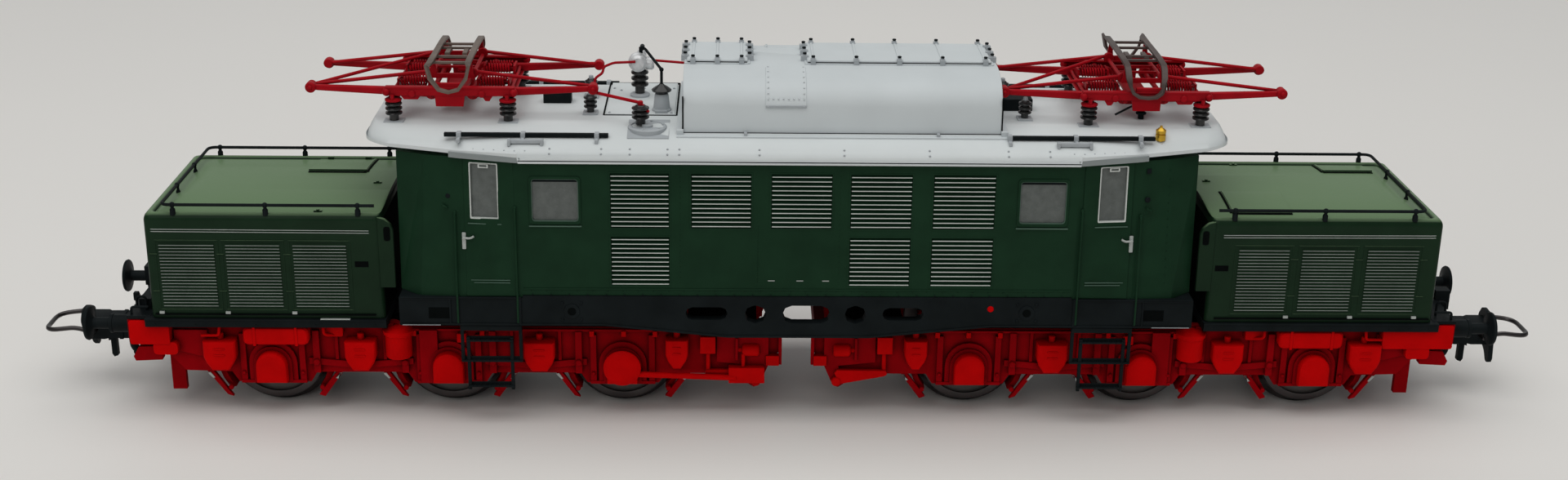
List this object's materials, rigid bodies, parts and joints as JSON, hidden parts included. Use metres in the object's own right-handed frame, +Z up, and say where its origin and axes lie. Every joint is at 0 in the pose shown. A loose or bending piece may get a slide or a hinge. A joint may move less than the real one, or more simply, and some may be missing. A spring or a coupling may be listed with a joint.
{
  "type": "model electric locomotive",
  "caption": "Small-scale articulated electric locomotive: long cab body over swivelling bogies with hoods, geared wheelsets, buffers, loop couplers and folding pantographs.",
  "frame": {"origin": "midway between the ends and between the sides, at the height of the bottoms of the wheel flanges", "axes": "+X along the locomotive, +Y to the left side when facing +X, +Z up"},
  "size_m": [0.233, 0.0354, 0.0542],
  "materials": {
    "body_green": "satin dark bottle green paint",
    "hood_green": "satin dark bottle green paint, lit from above",
    "roof_grey": "satin light blue-grey paint",
    "machine_grey": "satin mid grey paint",
    "frame_black": "satin black paint on die-cast metal",
    "trim_black": "satin black plastic",
    "bogie_red": "satin bright red plastic",
    "gearbox_metal": "dark die-cast metal",
    "wheel_steel": "darkened nickel-plated steel",
    "loop_steel": "blackened steel wire",
    "motor_steel": "zinc-plated steel can",
    "flywheel_brass": "turned brass",
    "panto_crimson": "crimson paint on thin metal",
    "strip_bronze": "dark bronze contact strips",
    "insulator_brown": "glossy dark brown",
    "switch_silver": "grey and silver paint",
    "glass_clear": "clear moulding"
  },
  "bodies": {
    "body": {"body_shell": "body_green", "roof": "roof_grey", "machine_roof": "machine_grey", "roof_hatch_short": "machine_grey", "roof_hatch_long": "machine_grey", "bridge_frame": "frame_black", "motor": "motor_steel", "main_switch": "switch_silver", "bus_insulator": "insulator_brown", "glazing_a": "glass_clear", "ladder_a1": "trim_black", "ladder_a2": "trim_black", "panto_base_a": "panto_crimson", "insulator_a1": "insulator_brown", "insulator_a2": "insulator_brown", "insulator_a3": "insulator_brown", "insulator_a4": "insulator_brown", "glazing_b": "glass_clear", "ladder_b1": "trim_black", "ladder_b2": "trim_black", "panto_base_b": "panto_crimson", "insulator_b1": "insulator_brown", "insulator_b2": "insulator_brown", "insulator_b3": "insulator_brown", "insulator_b4": "insulator_brown"},
    "motor_shaft": {"motor_shaft": "flywheel_brass"},
    "bogie_a": {"bogie_frame_a": "bogie_red", "running_board_a": "trim_black", "hood_a": "hood_green", "hood_rail_a": "trim_black", "gearbox_a": "gearbox_metal", "buffer_a_1": "trim_black", "buffer_a_2": "trim_black"},
    "wheels_a1": {"wheelset_a1": "wheel_steel"},
    "wheels_a2": {"wheelset_a2": "wheel_steel"},
    "wheels_a3": {"wheelset_a3": "wheel_steel"},
    "coupler_a": {"coupler_shank_a": "trim_black"},
    "loop_a": {"coupler_loop_a": "loop_steel"},
    "lower_arm_a1": {"panto_lower_arm_a1": "panto_crimson"},
    "lower_arm_a2": {"panto_lower_arm_a2": "panto_crimson"},
    "upper_arm_a1": {"panto_upper_arm_a1": "panto_crimson"},
    "upper_arm_a2": {"panto_upper_arm_a2": "panto_crimson"},
    "head_a": {"panto_head_a": "strip_bronze"},
    "bogie_b": {"bogie_frame_b": "bogie_red", "running_board_b": "trim_black", "hood_b": "hood_green", "hood_rail_b": "trim_black", "gearbox_b": "gearbox_metal", "buffer_b_1": "trim_black", "buffer_b_2": "trim_black"},
    "wheels_b1": {"wheelset_b1": "wheel_steel"},
    "wheels_b2": {"wheelset_b2": "wheel_steel"},
    "wheels_b3": {"wheelset_b3": "wheel_steel"},
    "coupler_b": {"coupler_shank_b": "trim_black"},
    "loop_b": {"coupler_loop_b": "loop_steel"},
    "lower_arm_b1": {"panto_lower_arm_b1": "panto_crimson"},
    "lower_arm_b2": {"panto_lower_arm_b2": "panto_crimson"},
    "upper_arm_b1": {"panto_upper_arm_b1": "panto_crimson"},
    "upper_arm_b2": {"panto_upper_arm_b2": "panto_crimson"},
    "head_b": {"panto_head_b": "strip_bronze"}
  },
  "joints": [
    {"name": "motor_turn", "type": "hinge", "parent": "body", "child": "motor_shaft", "pos_m": [0, 0, 0.0295], "axis": [1, 0, 0], "continuous": true},
    {"name": "bogie_swivel_a", "type": "hinge", "parent": "body", "child": "bogie_a", "pos_m": [-0.0523, 0, 0.0206], "axis": [0, 0, 1], "range_deg": [-7, 7]},
    {"name": "axle_a1", "type": "hinge", "parent": "bogie_a", "child": "wheels_a1", "pos_m": [-0.0262, 0, 0.0083], "axis": [0, 1, 0], "continuous": true},
    {"name": "axle_a2", "type": "hinge", "parent": "bogie_a", "child": "wheels_a2", "pos_m": [-0.0523, 0, 0.0083], "axis": [0, 1, 0], "continuous": true},
    {"name": "axle_a3", "type": "hinge", "parent": "bogie_a", "child": "wheels_a3", "pos_m": [-0.0787, 0, 0.0083], "axis": [0, 1, 0], "continuous": true},
    {"name": "coupler_swing_a", "type": "hinge", "parent": "bogie_a", "child": "coupler_a", "pos_m": [-0.094, 0, 0.009], "axis": [0, 0, 1], "range_deg": [-10, 10]},
    {"name": "loop_lift_a", "type": "hinge", "parent": "coupler_a", "child": "loop_a", "pos_m": [-0.1084, 0, 0.009], "axis": [0, 1, 0], "range_deg": [0, 40]},
    {"name": "panto_raise_a", "type": "hinge", "parent": "body", "child": "lower_arm_a1", "pos_m": [-0.0479, 0, 0.0488], "axis": [0, -1, 0], "range_deg": [0, 38]},
    {"name": "panto_lower_a2", "type": "hinge", "parent": "body", "child": "lower_arm_a2", "pos_m": [-0.0539, 0, 0.0488], "axis": [0, -1, 0], "range_deg": [-38, 0]},
    {"name": "panto_knee_a1", "type": "hinge", "parent": "lower_arm_a1", "child": "upper_arm_a1", "pos_m": [-0.0303, 0, 0.05], "axis": [0, -1, 0], "range_deg": [-76, 0]},
    {"name": "panto_knee_a2", "type": "hinge", "parent": "lower_arm_a2", "child": "upper_arm_a2", "pos_m": [-0.0715, 0, 0.05], "axis": [0, -1, 0], "range_deg": [0, 76]},
    {"name": "panto_apex_a", "type": "hinge", "parent": "upper_arm_a1", "child": "head_a", "pos_m": [-0.0479, 0, 0.0512], "axis": [0, -1, 0], "range_deg": [0, 38]},
    {"name": "bogie_swivel_b", "type": "hinge", "parent": "body", "child": "bogie_b", "pos_m": [0.0523, 0, 0.0206], "axis": [0, 0, 1], "range_deg": [-7, 7]},
    {"name": "axle_b1", "type": "hinge", "parent": "bogie_b", "child": "wheels_b1", "pos_m": [0.0262, 0, 0.0083], "axis": [0, 1, 0], "continuous": true},
    {"name": "axle_b2", "type": "hinge", "parent": "bogie_b", "child": "wheels_b2", "pos_m": [0.0523, 0, 0.0083], "axis": [0, 1, 0], "continuous": true},
    {"name": "axle_b3", "type": "hinge", "parent": "bogie_b", "child": "wheels_b3", "pos_m": [0.0787, 0, 0.0083], "axis": [0, 1, 0], "continuous": true},
    {"name": "coupler_swing_b", "type": "hinge", "parent": "bogie_b", "child": "coupler_b", "pos_m": [0.094, 0, 0.009], "axis": [0, 0, 1], "range_deg": [-10, 10]},
    {"name": "loop_lift_b", "type": "hinge", "parent": "coupler_b", "child": "loop_b", "pos_m": [0.1084, 0, 0.009], "axis": [0, -1, 0], "range_deg": [0, 40]},
    {"name": "panto_raise_b", "type": "hinge", "parent": "body", "child": "lower_arm_b1", "pos_m": [0.0479, 0, 0.0488], "axis": [0, 1, 0], "range_deg": [0, 38]},
    {"name": "panto_lower_b2", "type": "hinge", "parent": "body", "child": "lower_arm_b2", "pos_m": [0.0539, 0, 0.0488], "axis": [0, 1, 0], "range_deg": [-38, 0]},
    {"name": "panto_knee_b1", "type": "hinge", "parent": "lower_arm_b1", "child": "upper_arm_b1", "pos_m": [0.0303, 0, 0.05], "axis": [0, 1, 0], "range_deg": [-76, 0]},
    {"name": "panto_knee_b2", "type": "hinge", "parent": "lower_arm_b2", "child": "upper_arm_b2", "pos_m": [0.0715, 0, 0.05], "axis": [0, 1, 0], "range_deg": [0, 76]},
    {"name": "panto_apex_b", "type": "hinge", "parent": "upper_arm_b1", "child": "head_b", "pos_m": [0.0479, 0, 0.0512], "axis": [0, 1, 0], "range_deg": [0, 38]}
  ],
  "couplings": [
    {"joint": "axle_a1", "follows": "motor_turn", "ratio": 0.0714},
    {"joint": "axle_a2", "follows": "motor_turn", "ratio": 0.0714},
    {"joint": "axle_a3", "follows": "motor_turn", "ratio": 0.0714},
    {"joint": "panto_lower_a2", "follows": "panto_raise_a", "ratio": -1},
    {"joint": "panto_knee_a1", "follows": "panto_raise_a", "ratio": -2},
    {"joint": "panto_knee_a2", "follows": "panto_raise_a", "ratio": 2},
    {"joint": "panto_apex_a", "follows": "panto_raise_a", "ratio": 1},
    {"joint": "axle_b1", "follows": "motor_turn", "ratio": 0.0714},
    {"joint": "axle_b2", "follows": "motor_turn", "ratio": 0.0714},
    {"joint": "axle_b3", "follows": "motor_turn", "ratio": 0.0714},
    {"joint": "panto_lower_b2", "follows": "panto_raise_b", "ratio": -1},
    {"joint": "panto_knee_b1", "follows": "panto_raise_b", "ratio": -2},
    {"joint": "panto_knee_b2", "follows": "panto_raise_b", "ratio": 2},
    {"joint": "panto_apex_b", "follows": "panto_raise_b", "ratio": 1}
  ]
}
